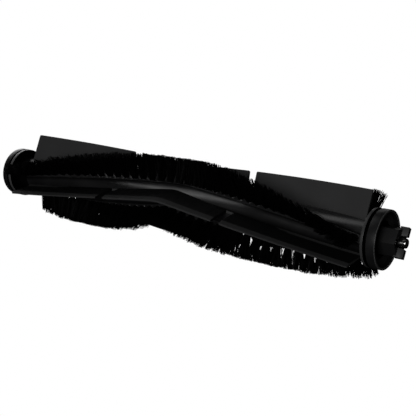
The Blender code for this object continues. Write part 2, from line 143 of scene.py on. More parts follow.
# Blades: how much a tip's radius falls from mid-length to the drive end and grows to the idle end, the waves
# of a tip (height, length and how far each row's is shifted), and the roundings
TIP_TAPERS = (0, 0.9 * MM, 0)
TIP_WAVES = ((0.05 * MM, 9 * MM, 2.1), (0.03 * MM, 3.7 * MM, 1))
BLADE_ROOT = 6.6 * MM
NECK_ROUNDING = 1.5 * MM
BEVEL_ROUNDING = 0.2 * MM
TIP_ROUNDINGS = (0.1 * MM, 0.12 * MM)
FLAP_CORNER = 0.45 * MM
SLIT_FLOOR = 8.1 * MM
NECK_OVERLAP = 0.2 * MM

# Slots of the core: half width and floor of each kind, the width and depth of their broken edges, and the
# steps of the round stretch between two slots
BLADE_SLOT = (0.72 * MM, 6.4 * MM)
STRIP_SLOT = (1.95 * MM, 5.6 * MM)
LIP_WIDTH = 0.14 * MM
LIP_DEPTH = 0.1 * MM
ARC_STEPS = 16

# Bristle strips: half of a strip's outline as radius and width, and the rim at a tuft's foot
STRIP_OUTLINE = [(5.7 * MM, 1.7 * MM), (7.45 * MM, 1.7 * MM), (7.58 * MM, 1.58 * MM), (7.6 * MM, 1.0 * MM)]
RIM_FOOT_RADIUS = 1.35 * MM
RIM_TOP_RADIUS = 1.15 * MM
RIM_HEIGHT = 0.3 * MM
RIM_MIDDLE = 7.7 * MM

# Filaments: those of a tuft start in a disc, fan out and gather in clumps
FILAMENTS = 180
FILAMENT_RADIUS = 0.12 * MM
FILAMENT_TAPER = 0.25
FILAMENT_LEVELS = np.array([0.0, 0.25, 0.5, 0.78, 1.0])
FILAMENT_SIDES = 3
FOOT = 6.9 * MM
FOOT_RADIUS = 1.1 * MM
TIP = 19.3 * MM
FAN = (0.24, 0.165)
CLUMPS = 9
CLUMPING = 0.28
SLOPE_SCATTER = 0.014
STRAYS = 0.03
STRAY_SCATTER = 0.07
LENGTH_SCATTER = 0.022
CLUMP_LENGTH_SCATTER = 0.012
LENGTH_LIMITS = (0.85, 1.01)
BOW_SCATTER = 0.3 * MM
TUFT_LEAN_SCATTER = (0.018, 0.02)

# Rows: how far the tips rise near the kink, how far up the tufts of the drive arm stay bunched, and how the
# last tufts at each end lean towards the idle end
KINK_TIP_RISES = (0, 0, 0.7 * MM)
KINK_TIP_REACH = 24 * MM
FLARES = (0, 0, 0.6)
FLARE_RAMP = 12 * MM
IDLE_LEANS = (0.5, 0.2, 0.02)
IDLE_LEAN_TUFTS = 2.5
DRIVE_LEAN = 0.03
DRIVE_LEAN_TUFTS = 1.5

# Tones of moulded faces, from -1 (darkest painted shade) to 1 (palest painted highlight)
# Colors of the painted highlights and of the painted shade, then the tone of the darkest painted shade
PAINTED_HIGHLIGHT_COLOR = (0.12, 0.12, 0.12)
PAINTED_SHADE_COLOR = (0.0008, 0.0008, 0.0008)
PAINTED_SHADE_TONE = -1.0
# Painted highlight on the drive end's rim and thin flange edge, and painted light on its web
RIM_HIGHLIGHT_TONE = 1.0
DRIVE_EDGE_HIGHLIGHT_TONE = 0.4
DRIVE_WEB_LIGHT_TONE = 0.35
# Painted highlight on the idle end's thin flange edge
IDLE_EDGE_HIGHLIGHT_TONE = 0.7
# Painted highlight on the claws
CLAW_HIGHLIGHT_TONE = 0.3
# Painted shadow at the core's idle end, and painted shade beside the bristles and above the blades
CORE_END_SHADOW_TONE = -0.9
CORE_DARK_END = -94 * MM
CORE_SHADE = 0.85
ROW_SHADE_REACH = 1.8 * MM
BLADE_SHADE_REACH = 3.4 * MM
BLADE_SHADE_START = 22 * MM
BLADE_SHADE_RAMP = 25 * MM

# Studio: each softbox's azimuth (0 is the front, 90 the drive end), elevation, side and watts
LAMP_DISTANCE = 0.6
LAMPS = {"front softbox": (15, 15, 0.25, 1.35), "high idle-end softbox": (-90, 55, 0.35, 0.13),
         "high front softbox": (-70, 50, 0.2, 0.09), "overhead softbox": (-80, 70, 0.25, 0.08),
         "idle-end softbox": (-110, 20, 0.35, 0.9), "rear softbox": (-160, 25, 0.25, 0.12)}
WORLD_STRENGTH = 0.01
FLOOR_HALF_SIZE = 6.0
FLOOR_GAP = 6 * MM
FLOOR_TONE = 0.02

# Camera: it stands off from a point on the axis and a little below the line to it. Its lens and sensor are in
# millimetres, as Blender takes them
CAMERA_AIM = 15.01 * MM
CAMERA_YAW = radians(36.162)
CAMERA_ELEVATION = radians(15.03)
CAMERA_DISTANCE = 369.34 * MM
CAMERA_DROP = 0.69 * MM
SENSOR_WIDTH = 36.0
FOCAL_LENGTH = 73.278

rng = np.random.default_rng(20)


# ---------------------------------------------------------------- material nodes

def new_material(name, color, roughness, metallic=0.0):
    material = bpy.data.materials.new(name)
    material.use_nodes = True
    shader = material.node_tree.nodes["Principled BSDF"]
    shader.inputs["Base Color"].default_value = (*color, 1.0)
    shader.inputs["Roughness"].default_value = roughness
    shader.inputs["Metallic"].default_value = metallic
    return material, material.node_tree, shader


def noise_node(tree, scale, detail, stretch=(1, 1, 1)):
    """Noise in the object's own coordinates, with this many waves to the metre."""
    place = tree.nodes.new("ShaderNodeTexCoord")
    mapping = tree.nodes.new("ShaderNodeMapping")
    mapping.inputs["Scale"].default_value = stretch
    noise = tree.nodes.new("ShaderNodeTexNoise")
    noise.inputs["Scale"].default_value = scale
    noise.inputs["Detail"].default_value = detail
    tree.links.new(place.outputs["Object"], mapping.inputs["Vector"])
    tree.links.new(mapping.outputs["Vector"], noise.inputs["Vector"])
    return noise.outputs["Fac"]


def face_value(tree, name):
    """Value of a face attribute, which is 0 on a mesh that doesn't have it."""
    node = tree.nodes.new("ShaderNodeAttribute")
    node.attribute_name = name
    return node.outputs["Fac"]


def spread(tree, value, low, high, from_low=0.3, from_high=0.7):
    """The value, spread from its own range over another one."""
    node = tree.nodes.new("ShaderNodeMapRange")
    node.inputs["From Min"].default_value = from_low
    node.inputs["From Max"].default_value = from_high
    node.inputs["To Min"].default_value = low
    node.inputs["To Max"].default_value = high
    tree.links.new(value, node.inputs["Value"])
    return node.outputs["Result"]


def blend_colors(tree, share, first, second):
    """Mix of two colors, each a plain color or another node's output."""
    node = tree.nodes.new("ShaderNodeMix")
    node.data_type = "RGBA"
    for socket, color in ((node.inputs["A"], first), (node.inputs["B"], second)):
        if isinstance(color, tuple):
            socket.default_value = (*color, 1.0)
        else:
            tree.links.new(color, socket)
    tree.links.new(share, node.inputs["Factor"])
    return node.outputs["Result"]


def add_bump(tree, shader, height, distance, strength=1.0, normal=None):
    node = tree.nodes.new("ShaderNodeBump")
    node.inputs["Strength"].default_value = strength
    node.inputs["Distance"].default_value = distance
    tree.links.new(height, node.inputs["Height"])
    if normal:
        tree.links.new(normal, node.inputs["Normal"])
    tree.links.new(node.outputs["Normal"], shader.inputs["Normal"])
    return node.outputs["Normal"]


# ---------------------------------------------------------------- materials

def toned(tree, color, tone):
    """The color, paler where the tone is above 0 (painted highlight) and darker below it (painted shade)."""
    worn = blend_colors(tree, spread(tree, tone, 0.0, 1.0, 0.0, 1.0), color, PAINTED_HIGHLIGHT_COLOR)
    return blend_colors(tree, spread(tree, tone, 0.0, 1.0, 0.0, -1.0), worn, PAINTED_SHADE_COLOR)


def moulded_plastic(name, color, rough_low, rough_high, grain, gloss):
    """Moulded plastic: fine grain, faint handling marks and a little dust, with painted highlights and
    painted shade from the face tone, and less gloss in the painted shade.
    """
    material, tree, shader = new_material(name, color, rough_low)
    tone = face_value(tree, "tone")
    dust = spread(tree, noise_node(tree, 90, 6.0), 0.0, 1.0, 0.45, 0.75)
    dusty = blend_colors(tree, dust, color, tuple(c * 1.7 + 0.002 for c in color))
    tree.links.new(toned(tree, dusty, tone), shader.inputs["Base Color"])
    marks = noise_node(tree, 260, 5.0, (0.35, 1, 1))
    tree.links.new(spread(tree, marks, rough_low, rough_high), shader.inputs["Roughness"])
    fine = add_bump(tree, shader, noise_node(tree, 5200, 2.0), grain)
    add_bump(tree, shader, noise_node(tree, 120, 2.0), 0.05 * MM, 0.25, fine)
    # Painted shade takes away gloss too
    tree.links.new(spread(tree, tone, 0.02, gloss, -1, 0), shader.inputs["Specular IOR Level"])
    return material


def rubber(name, color, painted_shade_tint):
    """Matte rubber: painted darker (painted shade) where a face has no light share than where it has it, with
    faint streaks and bloom.
    """
    material, tree, shader = new_material(name, color, 0.6)
    bloom = spread(tree, noise_node(tree, 45, 6.0), 0.0, 1.0, 0.4, 0.8)
    light = blend_colors(tree, bloom, color, tuple(c * 1.15 for c in color))
    # Faces with no light share get the painted shade color
    both = blend_colors(tree, face_value(tree, "light"), painted_shade_tint, light)
    tree.links.new(both, shader.inputs["Base Color"])
    tree.links.new(spread(tree, noise_node(tree, 400, 4.0), 0.52, 0.7), shader.inputs["Roughness"])
    fine = add_bump(tree, shader, noise_node(tree, 7000, 2.0), 0.012 * MM)
    add_bump(tree, shader, noise_node(tree, 900, 2.0, (1, 0.12, 0.12)), 0.02 * MM, 0.5, fine)
    shader.inputs["Specular IOR Level"].default_value = 0.06
    return material


def nylon(name):
    """Black nylon, each filament a little different in tone."""
    material, tree, shader = new_material(name, (0.006, 0.006, 0.0065), 0.42)
    tone = spread(tree, noise_node(tree, 1500, 2.0, (1, 1, 0.2)), 0.0, 1.0)
    color = blend_colors(tree, tone, (0.0004, 0.0004, 0.0005), (0.0018, 0.0018, 0.0019))
    tree.links.new(color, shader.inputs["Base Color"])
    tree.links.new(spread(tree, noise_node(tree, 2500, 1.0), 0.35, 0.6), shader.inputs["Roughness"])
    add_bump(tree, shader, noise_node(tree, 6000, 1.0), 0.01 * MM)
    shader.inputs["Specular IOR Level"].default_value = 0.04
    return material


def turned_steel(name, color, rough_low, rough_high):
    """Bright steel with fine turning marks round its axis and faint stains."""
    material, tree, shader = new_material(name, color, rough_low, 1.0)
    stain = spread(tree, noise_node(tree, 500, 4.0), 0.0, 1.0, 0.45, 0.8)
    stained = blend_colors(tree, stain, color, tuple(c * 0.72 for c in color))
    tree.links.new(stained, shader.inputs["Base Color"])
    rough = spread(tree, noise_node(tree, 900, 4.0), rough_low, rough_high)
    tree.links.new(rough, shader.inputs["Roughness"])
    add_bump(tree, shader, noise_node(tree, 9000, 1.0, (1, 0.04, 0.04)), 0.004 * MM)
    return material


def felt(name):
    """Pressed fibres with a soft sheen."""
    material, tree, shader = new_material(name, (0.12, 0.12, 0.12), 0.95)
    color = blend_colors(tree, noise_node(tree, 3000, 6.0), (0.08, 0.08, 0.08), (0.17, 0.17, 0.165))
    tree.links.new(color, shader.inputs["Base Color"])
    add_bump(tree, shader, noise_node(tree, 4500, 6.0), 0.15 * MM)
    shader.inputs["Sheen Weight"].default_value = 0.3
    return material


core_plastic = moulded_plastic("core plastic", (0.008, 0.008, 0.0084), 0.26, 0.34, 0.004 * MM, 1.0)
cap_plastic = moulded_plastic("end cap plastic", (0.01, 0.01, 0.0104), 0.3, 0.4, 0.006 * MM, 0.25)
dog_plastic = moulded_plastic("dog plastic", (0.012, 0.012, 0.0124), 0.4, 0.5, 0.01 * MM, 0.25)
strip_plastic = moulded_plastic("strip plastic", (0.012, 0.012, 0.0125), 0.4, 0.5, 0.01 * MM, 0.5)
washer_nylon = moulded_plastic("washer nylon", (0.62, 0.62, 0.6), 0.4, 0.5, 0.006 * MM, 0.5)
# Its second color is the painted shade of the upper faces and slit walls
blade_rubber = rubber("blade rubber", (0.045, 0.045, 0.0455), (0.004, 0.004, 0.0042))
bristle_nylon = nylon("bristle nylon")
shaft_steel = turned_steel("shaft steel", (0.6, 0.6, 0.59), 0.12, 0.24)
race_steel = turned_steel("race steel", (0.62, 0.62, 0.61), 0.18, 0.3)
ball_steel = turned_steel("ball steel", (0.7, 0.7, 0.7), 0.06, 0.12)
shield_steel = turned_steel("shield steel", (0.58, 0.58, 0.57), 0.25, 0.4)
seal_felt = felt("felt")


# ---------------------------------------------------------------- shapes

def around(along, radius, angle):
    return Vector((along, -radius * cos(angle), radius * sin(angle)))


def facing(along, angle):
    """Frame on the axis whose Z points out at this angle and whose X runs along the roller."""
    outward = around(0, 1, angle)
    axis = Vector((1, 0, 0))
    turned = Matrix((axis, outward.cross(axis), outward)).transposed().to_4x4()
    turned.translation = (along, 0, 0)
    return turned


def add_object(name, data):
    thing = bpy.data.objects.new(name, data)
    bpy.context.scene.collection.objects.link(thing)
    return thing


def add_piece(node, mesh, material, body, sharp=32):
    """A visual piece that replaces this CAD node and rides on its body, smooth up to the sharp angle."""
    mesh.name = f"{node}_visual"
    mesh.materials.clear()
    mesh.materials.append(material)
    mesh.shade_smooth()
    mesh.set_sharp_from_angle(angle=radians(sharp))
    piece = add_object(f"{node}_visual", mesh)
    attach(piece, body)
    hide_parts(node)


def set_values(mesh, name, values):
    """Face attribute with a value for each face."""
    mesh.attributes.new(name, "FLOAT", "FACE").data.foreach_set("value", values)


def set_tones(mesh, tone_at):
    set_values(mesh, "tone", [tone_at(face.center) for face in mesh.polygons])


def mesh_of(name, shape):
    bmesh.ops.recalc_face_normals(shape, faces=shape.faces)
    mesh = bpy.data.meshes.new(name)
    shape.to_mesh(mesh)
    shape.free()
    return mesh


def round_corners(corners, steps=3):
    """Rounds each (point, corner radius) off within its sides, and keeps those of radius 0 sharp."""
    outline = []
    for i, (corner, radius) in enumerate(corners):
        if radius == 0:
            outline.append(corner)
            continue
        before = corners[i - 1][0] - corner
        after = corners[(i + 1) % len(corners)][0] - corner
        reach = min(radius, before.length * 0.45, after.length * 0.45)
        start = corner + before.normalized() * reach
        end = corner + after.normalized() * reach
        for k in range(steps + 1):
            t = k / steps
            outline.append(start * (1 - t) ** 2 + corner * 2 * t * (1 - t) + end * t ** 2)
    return outline


def corners_of(points, radius):
    """Corners for round_corners that all have this radius, but for those on the axis."""
    return [(Vector(point), radius if point[0] > 0 else 0) for point in points]


def lathe_mesh(name, outline, segments=128, closed=True):
    """Turns an outline of (radius, along) points about the axis. One that isn't closed ends on the axis."""
    shape = bmesh.new()
    rings = []
    for radius, along in outline:
        turns = segments if radius > 0 else 1
        rings.append([shape.verts.new(around(along, radius, 2 * pi * i / segments)) for i in range(turns)])
    pairs = list(zip(rings, rings[1:]))
    if closed:
        pairs.append((rings[-1], rings[0]))
    for near, far in pairs:
        for i in range(segments):
            j = (i + 1) % segments
            corners = [near[i % len(near)], near[j % len(near)], far[j % len(far)], far[i % len(far)]]
            unlike = list(dict.fromkeys(corners))
            if len(unlike) > 2:
                shape.faces.new(unlike)
    return mesh_of(name, shape)


def loft_into(shape, sections):
    rings = [[shape.verts.new(point) for point in section] for section in sections]
    count = len(sections[0])
    for near, far in zip(rings, rings[1:]):
        for i in range(count):
            j = (i + 1) % count
            shape.faces.new((near[i], near[j], far[j], far[i]))
    shape.faces.new(reversed(rings[0]))
    shape.faces.new(rings[-1])


def carve(mesh, tools, operation="DIFFERENCE"):
    """The mesh after exact Booleans with these tool meshes."""
    body = add_object("carved", mesh)
    made = []
    for i, tool_mesh in enumerate(tools):
        tool = add_object(f"tool {i}", tool_mesh)
        step = body.modifiers.new("step", "BOOLEAN")
        step.operation = operation
        step.solver = "EXACT"
        step.object = tool
        made.append(tool)
    graph = bpy.context.evaluated_depsgraph_get()
    result = bpy.data.meshes.new_from_object(body.evaluated_get(graph))
    for thing in [body, *made]:
        bpy.data.objects.remove(thing, do_unlink=True)
    return result


def box_mesh(turned, centre, size):
    shape = bmesh.new()
    placed = turned @ Matrix.Translation(centre) @ Matrix.Diagonal((*size, 1))
    bmesh.ops.create_cube(shape, size=1, matrix=placed)
    return mesh_of("box", shape)


def round_edges(mesh, width, segments=3, angle=35):
    """Bevels the sharp edges of a flat-sided mesh."""
    shape = bmesh.new()
    shape.from_mesh(mesh)
    bmesh.ops.remove_doubles(shape, verts=shape.verts, dist=1e-6)
    bmesh.ops.dissolve_limit(shape, angle_limit=radians(1), verts=shape.verts, edges=shape.edges)
    edges = [e for e in shape.edges if len(e.link_faces) == 2 and e.calc_face_angle(0) > radians(angle)]
    bmesh.ops.bevel(shape, geom=edges, offset=width, offset_type="OFFSET", segments=segments, profile=0.5,
                    affect="EDGES", clamp_overlap=True)
    return mesh_of("rounded", shape)


# ---------------------------------------------------------------- the V of blades and rows

def v_offset(along, v):
    """Offset of a foot across its heading: highest at the kink, lower towards both ends."""
    _, kink, idle_slope, drive_slope = v
    slope = drive_slope if along > 0 else idle_slope
    return kink - slope * (sqrt(along ** 2 + KINK_ROUNDING ** 2) - KINK_ROUNDING)


def row_turn(row):
    return radians(360 / ROWS) * row


def foot_angle(along, v, row=0):
    """Angle round the roller at which a foot of this V stands on the core."""
    return v[0] + asin(v_offset(along, v) / CORE_RADIUS) + row_turn(row)


def even_stations(low, high, step):
    """Evenly spaced places from low to high, about a step apart."""
    count = max(2, int(round((high - low) / step)) + 1)
    return list(np.linspace(low, high, count))


# ---------------------------------------------------------------- core

def core_section(along, with_slots):
    """Round section that turns with the V, with a slot for each blade and a wider one for each strip."""
    slots = []
    for row in range(ROWS):
        slots.append((foot_angle(along, BLADE_VS[row], row), *BLADE_SLOT))
        slots.append((foot_angle(along, ROW_V, row), *STRIP_SLOT))
    points = []
    for i, (middle, half, floor) in enumerate(slots):
        opening = asin(half / CORE_RADIUS)
        lip = asin((half + LIP_WIDTH) / CORE_RADIUS)
        if with_slots:
            side = [(CORE_RADIUS, lip), (CORE_RADIUS - LIP_DEPTH, opening), (floor, asin(half / floor))]
            slot = [(radius, -angle) for radius, angle in side] + side[::-1]
        else:
            slot = [(CORE_RADIUS, lip * t) for t in (-1, -0.8, -0.3, 0.3, 0.8, 1)]
        points += [around(along, radius, middle + angle) for radius, angle in slot]
        next_middle, next_half, _ = slots[(i + 1) % len(slots)]
        full_turn = 2 * pi if i == len(slots) - 1 else 0
        start = middle + lip
        end = next_middle - asin((next_half + LIP_WIDTH) / CORE_RADIUS) + full_turn
        stretch = [start + (end - start) * k / ARC_STEPS for k in range(1, ARC_STEPS)]
        points += [around(along, CORE_RADIUS, angle) for angle in stretch]
    return points


def angle_past(place, v, row):
    """How far round the roller a place lies past a foot of this V, from -pi to pi."""
    return (atan2(place.z, -place.y) - foot_angle(place.x, v, row) + pi) % (2 * pi) - pi


def core_tone(place):
    """Painted shade, darkest beside the bristles, above each blade towards the drive end, and at the very
    idle end.
    """
    if place.x < CORE_DARK_END:
        return CORE_END_SHADOW_TONE
    shade = 0.0
    blade_reach = BLADE_SHADE_REACH * min(1.0, max(0.0, (place.x - BLADE_SHADE_START) / BLADE_SHADE_RAMP))
    for row in range(ROWS):
        from_row = abs(angle_past(place, ROW_V, row)) * CORE_RADIUS - STRIP_SLOT[0]
        shade = max(shade, 1 - from_row / ROW_SHADE_REACH)
        past_blade = angle_past(place, BLADE_VS[row], row)
        if past_blade > 0 and blade_reach > 0:
            shade = max(shade, 1 - (past_blade * CORE_RADIUS - BLADE_SLOT[0]) / blade_reach)
    return -CORE_SHADE * min(1.0, shade)


def add_core():
    """The core, plain beyond the pattern at its idle end and slotted from there on."""
    slots_start = -HALF_PATTERN - GAP
    sections = [core_section(CORE_IDLE_END, False), core_section(slots_start, False)]
    sections += [core_section(x, True) for x in even_stations(slots_start, CORE_DRIVE_END, 1.5 * MM)]
    shape = bmesh.new()
    loft_into(shape, sections)
    mesh = mesh_of("core", shape)
    set_tones(mesh, core_tone)
    add_piece("core", mesh, core_plastic, "roller", sharp=25)


# ---------------------------------------------------------------- blades

def blade_section(along, row, shorten):
    """Neck, flap and bevelled tip, worked out across the roller, as front and up, before the row's turn."""
    v = BLADE_VS[row]
    foot = foot_angle(along, v)
    outward = Vector((cos(foot), sin(foot)))
    beside = Vector((-outward.y, outward.x)) * BLADE_THICKNESS / 2
    ahead = Vector((cos(v[0]), sin(v[0])))
    across = Vector((-ahead.y, ahead.x))
    wave = sum(height * sin(along / length + shift * row) for height, length, shift in TIP_WAVES)
    tip = BLADE_RADIUS - TIP_TAPERS[row] * along / HALF_PATTERN

    def on_circle(radius, rise):
        offset = v_offset(along, v) + rise
        return ahead * sqrt(radius ** 2 - offset ** 2) + across * offset

    corners = [(outward * BLADE_ROOT + beside, 0), (outward * BLADE_NECK + beside, NECK_ROUNDING),
               (on_circle(tip - BEVEL_DEPTH, BEVEL_RISE), BEVEL_ROUNDING),
               (on_circle(tip - shorten, TIP_UPPER_RISE + wave), TIP_ROUNDINGS[0]),
               (on_circle(tip - shorten, TIP_LOWER_RISE + wave), TIP_ROUNDINGS[1]),
               (outward * BLADE_NECK - beside, NECK_ROUNDING), (outward * BLADE_ROOT - beside, 0)]
    turn = Matrix.Rotation(row_turn(row), 2)
    return [Vector((along, -p.x, p.y)) for p in (turn @ q for q in round_corners(corners))]


def neck_section(along, row):
    """The stump of the blade that is left in a slit."""
    half = BLADE_THICKNESS / 2
    turned = facing(along, foot_angle(along, BLADE_VS[row], row))
    corners = [(BLADE_ROOT, half), (SLIT_FLOOR, half), (SLIT_FLOOR, -half), (BLADE_ROOT, -half)]
    return [turned @ Vector((0, width, radius)) for radius, width in corners]


def mark_painted_light_faces(mesh, row):
    """Share of painted light: none on the upper face and in the slits, which are painted as in shade, half on
    the bevel, else all.
    """
    across_angle = BLADE_VS[row][0] + row_turn(row) + pi / 2
    across = around(0, 1, across_angle)
    ahead = around(0, 1, across_angle - pi / 2)
    shares = []
    for face in mesh.polygons:
        in_slit = abs(face.normal.x) > 0.6 and abs(face.center.x) < SLIT_END + 1 * MM
        is_upper = face.normal.dot(across) > 0.5
        is_bevel = is_upper and face.normal.dot(ahead) > 0.05
        shares.append(0.0 if in_slit else 0.5 if is_bevel else 0.0 if is_upper else 1.0)
    set_values(mesh, "light", shares)


def add_blade(row):
    """Three flaps with rounded ends, and a stump between them at each slit."""
    shape = bmesh.new()
    for low, high in ((-HALF_PATTERN, -SLIT_END), (-SLIT_START, SLIT_START), (SLIT_END, HALF_PATTERN)):
        end_steps = [0, 0.05 * MM, 0.15 * MM, 0.3 * MM, FLAP_CORNER]
        places = [low + step for step in end_steps]
        places += even_stations(low + FLAP_CORNER, high - FLAP_CORNER, 1.4 * MM)[1:-1]
        places += [high - step for step in reversed(end_steps)]
        sections = []
        for x in places:
            inset = max(0.0, FLAP_CORNER - min(x - low, high - x))
            shorten = FLAP_CORNER - sqrt(max(0.0, FLAP_CORNER ** 2 - inset ** 2))
            sections.append(blade_section(x, row, shorten))
        loft_into(shape, sections)
    for side in (-1, 1):
        ends = sorted((side * (SLIT_START - NECK_OVERLAP), side * (SLIT_END + NECK_OVERLAP)))
        loft_into(shape, [neck_section(x, row) for x in even_stations(*ends, 1.0 * MM)])
    node = f"blade_{row + 1}"
    mesh = mesh_of(node, shape)
    mark_painted_light_faces(mesh, row)
    add_piece(node, mesh, blade_rubber, "roller", sharp=50)


# ---------------------------------------------------------------- bristles

def tuft_place(i):
    return (i - (TUFTS - 1) / 2) * TUFT_PITCH


def strip_section(along, row):
    turned = facing(along, foot_angle(along, ROW_V, row))
    outline = STRIP_OUTLINE + [(radius, -width) for radius, width in reversed(STRIP_OUTLINE)]
    return [turned @ Vector((0, width, radius)) for radius, width in outline]


def add_strip(row):
    """Backing strip with a rim round the foot of each tuft."""
    shape = bmesh.new()
    loft_into(shape, [strip_section(x, row) for x in even_stations(-HALF_PATTERN, HALF_PATTERN, 1.5 * MM)])
    for i in range(TUFTS):
        along = tuft_place(i)
        turned = facing(along, foot_angle(along, ROW_V, row))
        bmesh.ops.create_cone(shape, cap_ends=True, segments=20, radius1=RIM_FOOT_RADIUS,
                              radius2=RIM_TOP_RADIUS, depth=RIM_HEIGHT,
                              matrix=turned @ Matrix.Translation((0, 0, RIM_MIDDLE)))
    node = f"bristle_strip_{row + 1}"
    add_piece(node, mesh_of(node, shape), strip_plastic, "roller")


def in_disc(count):
    """Points spread evenly over a disc of radius 1."""
    reach = np.sqrt(rng.random(count))
    way = 2 * pi * rng.random(count)
    return np.stack([reach * np.cos(way), reach * np.sin(way)], 1)


def tuft_filaments(lean, tip):
    """Foot, slope, bow and height of each filament in a tuft, in the tuft's own frame."""
    spot = in_disc(FILAMENTS)
    clump = in_disc(CLUMPS)
    mine = np.argmin(((spot[:, None] - clump[None]) ** 2).sum(2), 1)
    spread_out = (1 - CLUMPING) * spot + CLUMPING * clump[mine]
    slope = spread_out * np.array(FAN) + rng.normal(0, SLOPE_SCATTER, (FILAMENTS, 2)) + lean
    stray = rng.random(FILAMENTS) < STRAYS
    slope[stray] += rng.normal(0, STRAY_SCATTER, (int(stray.sum()), 2))
    share = 1 - np.abs(rng.normal(0, LENGTH_SCATTER, FILAMENTS))
    share += CLUMP_LENGTH_SCATTER * rng.normal(size=CLUMPS)[mine]
    length = (tip - FOOT) * share.clip(*LENGTH_LIMITS)
    height = length / np.sqrt(1 + (slope ** 2).sum(1))
    bow = rng.normal(0, BOW_SCATTER, (FILAMENTS, 2))
    return spot * FOOT_RADIUS, slope, bow, height


def tuft_points(i, row):
    """Points of a tuft's filaments, which are thin tapered rods that fan out and bow a little."""
    along = tuft_place(i)
    tip = TIP + KINK_TIP_RISES[row] * np.exp(-(along / KINK_TIP_REACH) ** 2)
    to_idle_end = IDLE_LEANS[row] * max(0.0, 1 - i / IDLE_LEAN_TUFTS)
    to_idle_end += DRIVE_LEAN * max(0.0, 1 - (TUFTS - 1 - i) / DRIVE_LEAN_TUFTS)
    lean = rng.normal(0, TUFT_LEAN_SCATTER) - (to_idle_end, 0)
    foot, slope, bow, height = tuft_filaments(lean, tip)
    phase = rng.random(FILAMENTS) * 2 * pi
    rise = height[:, None] * FILAMENT_LEVELS
    bunched = FILAMENT_LEVELS ** (FLARES[row] * min(1.0, max(0.0, along / FLARE_RAMP)))
    centre = foot[:, None] + slope[:, None] * (rise * bunched)[..., None]
    centre += bow[:, None] * np.sin(pi * FILAMENT_LEVELS)[:, None]
    corner = phase[:, None] + 2 * pi * np.arange(FILAMENT_SIDES) / FILAMENT_SIDES
    around_it = np.stack([np.cos(corner), np.sin(corner)], -1)
    thick = FILAMENT_RADIUS * (1 - FILAMENT_TAPER * FILAMENT_LEVELS)
    flat = centre[:, :, None] + thick[None, :, None, None] * around_it[:, None]
    out = np.broadcast_to((FOOT + rise)[:, :, None, None], flat.shape[:3] + (1,))
    points = np.concatenate([flat, out, np.ones_like(out)], -1).reshape(-1, 4)
    turned = np.array(facing(along, foot_angle(along, ROW_V, row)))
    return (points @ turned.T)[:, :3]


def rod_faces(rods):
    """Sides and ends of this many rods, whose points follow each other ring by ring."""
    rings = len(FILAMENT_LEVELS)
    step = np.arange(FILAMENT_SIDES)
    after = (step + 1) % FILAMENT_SIDES
    ring = np.arange(rings - 1)[:, None] * FILAMENT_SIDES
    next_ring = ring + FILAMENT_SIDES
    sides = np.stack([ring + step, ring + after, next_ring + after, next_ring + step], -1).reshape(-1, 4)
    ends = np.array([step[::-1], (rings - 1) * FILAMENT_SIDES + step])
    starts = np.arange(rods)[:, None, None] * rings * FILAMENT_SIDES
    return (starts + sides).reshape(-1, 4).tolist() + (starts + ends).reshape(-1, 3).tolist()


def add_bristles(row):
    """Every filament of a row."""
    points = np.concatenate([tuft_points(i, row) for i in range(TUFTS)])
    node = f"bristles_{row + 1}"
    mesh = bpy.data.meshes.new(node)
    mesh.from_pydata(points.tolist(), [], rod_faces(TUFTS * FILAMENTS))
    add_piece(node, mesh, bristle_nylon, "roller", sharp=80)


# ---------------------------------------------------------------- drive end

def from_axis(place):
    return Vector((place.y, place.z)).length


def on_outside(place):
    return from_axis(place) > RING_RADIUS - 0.15 * MM


def in_groove(place, groove):
    """Whether a face is in a ring's groove or on the groove's edges."""
    edge = 0.1 * MM
    inside = groove[0] + edge < place.x < groove[1] - edge
    beside = groove[0] - edge < place.x < groove[1] + edge
    return inside or (beside and not on_outside(place))


def drive_cap_tone(place):
    """Painted shade in the groove and the recess; painted highlight on the rim and the thin flange's edge,
    and painted light on the web.
    """
    margin = 0.05 * MM
    in_recess = from_axis(place) < DRIVE_RECESS_RADIUS + margin and place.x < DRIVE_WEB - margin
    # The groove and the recess get painted shade
    if in_groove(place, DRIVE_GROOVE) or in_recess:
        return PAINTED_SHADE_TONE
    if place.x > DRIVE_RING_END - 0.2 * MM:
        return RIM_HIGHLIGHT_TONE
    if on_outside(place) and place.x < DRIVE_GROOVE[0]:
        return DRIVE_EDGE_HIGHLIGHT_TONE
    on_web = from_axis(place) < RING_BORE - 0.1 * MM and place.x < DRIVE_WEB + 0.15 * MM
    return DRIVE_WEB_LIGHT_TONE if on_web else 0.0


def add_drive_end():
    bore = 3.0 * MM
    outline = [(RING_RADIUS, DRIVE_RING_END), (RING_RADIUS, DRIVE_GROOVE[1]),
               (GROOVE_RADIUS, DRIVE_GROOVE[1]), (GROOVE_RADIUS, DRIVE_GROOVE[0]),
               (RING_RADIUS, DRIVE_GROOVE[0]), (RING_RADIUS, DRIVE_FLANGE),
               (CORE_RADIUS, DRIVE_FLANGE), (CORE_RADIUS, DRIVE_HUB), (bore, DRIVE_HUB),
               (bore, DRIVE_RECESS_FLOOR), (DRIVE_RECESS_RADIUS, DRIVE_RECESS_FLOOR),
               (DRIVE_RECESS_RADIUS, DRIVE_WEB), (RING_BORE, DRIVE_WEB), (RING_BORE, DRIVE_RING_END)]
    mesh = lathe_mesh("drive_end_cap", round_corners(corners_of(outline, EDGE_ROUNDING)))
    set_tones(mesh, drive_cap_tone)
    add_piece("drive_end_cap", mesh, cap_plastic, "roller")


def hex_bar(radius, low, high):
    shape = bmesh.new()
    laid = Matrix.Rotation(-HEX_TURN, 4, "X") @ Matrix.Rotation(pi / 2, 4, "Y")
    bmesh.ops.create_cone(shape, cap_ends=True, segments=6, radius1=radius, radius2=radius, depth=high - low,
                          matrix=Matrix.Translation(((low + high) / 2, 0, 0)) @ laid)
    return mesh_of("hex", shape)


